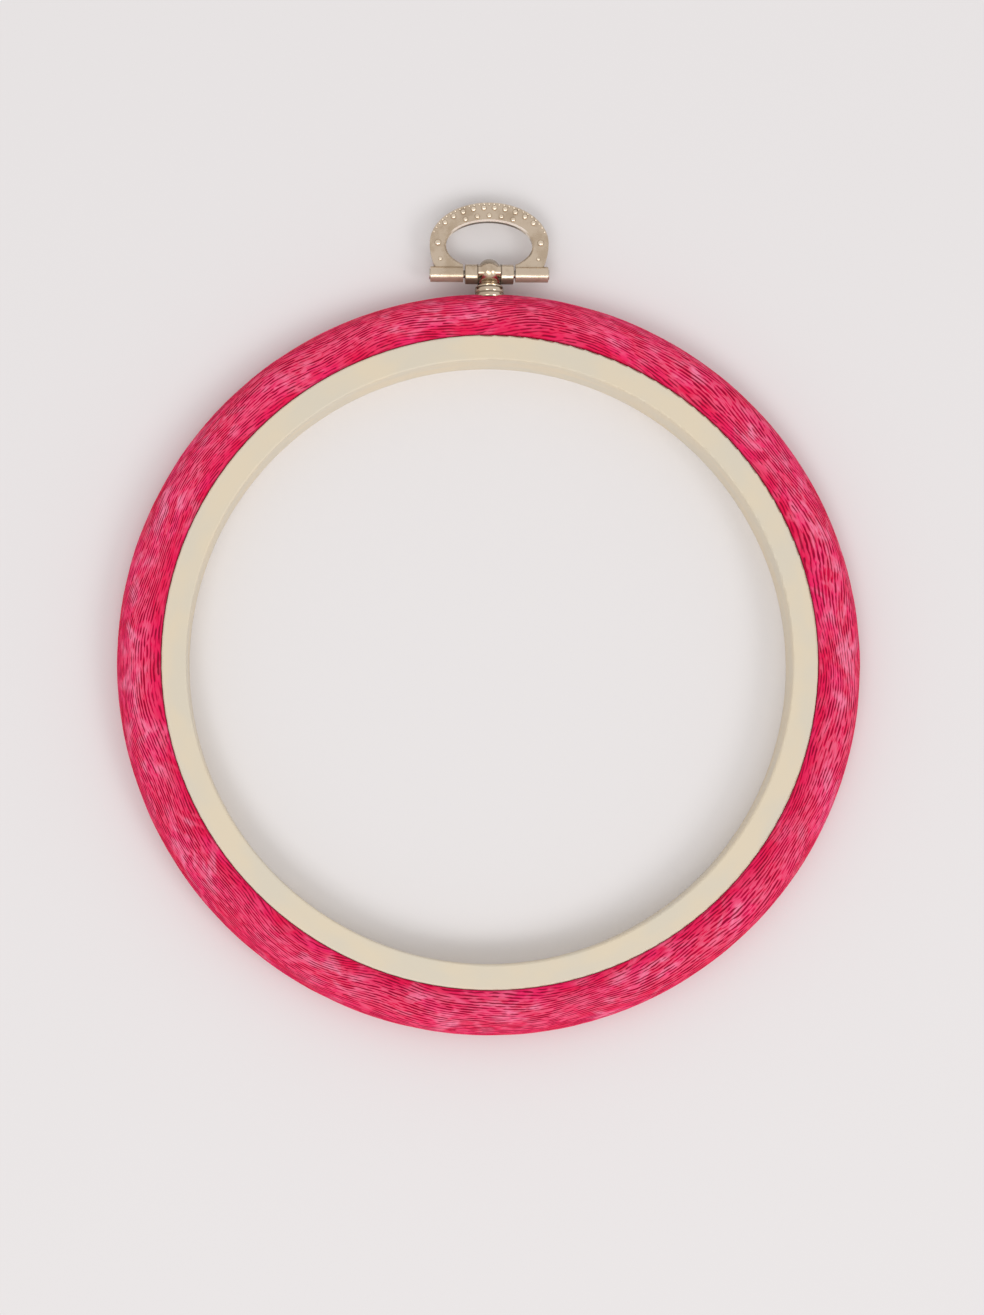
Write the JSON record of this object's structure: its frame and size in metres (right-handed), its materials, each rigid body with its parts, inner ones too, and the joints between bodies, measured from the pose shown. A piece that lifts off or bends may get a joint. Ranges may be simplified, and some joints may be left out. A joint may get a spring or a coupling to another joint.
{
  "type": "embroidery hoop",
  "caption": "Round embroidery hoop: a flexible half-round outer ring over a rigid inner ring with a front lip, and a beaded metal hanger loop hinged at the top edge.",
  "frame": {"origin": "on the rings' common axis, in the plane of the flat back faces", "axes": "+Z along the rings' axis out of the front, where the inner ring's lip shows; +Y from the centre towards the hanger; +X to the right as seen from the front"},
  "size_m": [0.155, 0.1745, 0.0095],
  "materials": {
    "outer_vinyl": "crimson-pink flexible vinyl with an embossed wood grain, satin",
    "inner_plastic": "cream rigid plastic, soft satin",
    "nickel_cast": "warm nickel plate on a zinc casting, softly polished",
    "pin_steel": "nickel-plated steel wire, ends peened",
    "screw_steel": "zinc-plated steel, plain"
  },
  "bodies": {
    "outer_ring": {"outer_ring": "outer_vinyl", "base_collar": "nickel_cast", "hanger_knuckle": "nickel_cast", "mounting_screw": "screw_steel", "screw_washer": "screw_steel"},
    "inner_ring": {"inner_ring": "inner_plastic"},
    "hanger": {"hanger_loop": "nickel_cast", "hinge_pin": "pin_steel"}
  },
  "joints": [
    {"name": "inner_ring_release", "type": "slide", "parent": "outer_ring", "child": "inner_ring", "axis": [0, 0, 1], "range_m": [0, 0.02]},
    {"name": "hanger_swing", "type": "hinge", "parent": "outer_ring", "child": "hanger", "pos_m": [0, 0.0819, 0.0045], "axis": [1, 0, 0], "range_deg": [-135, 135]}
  ]
}
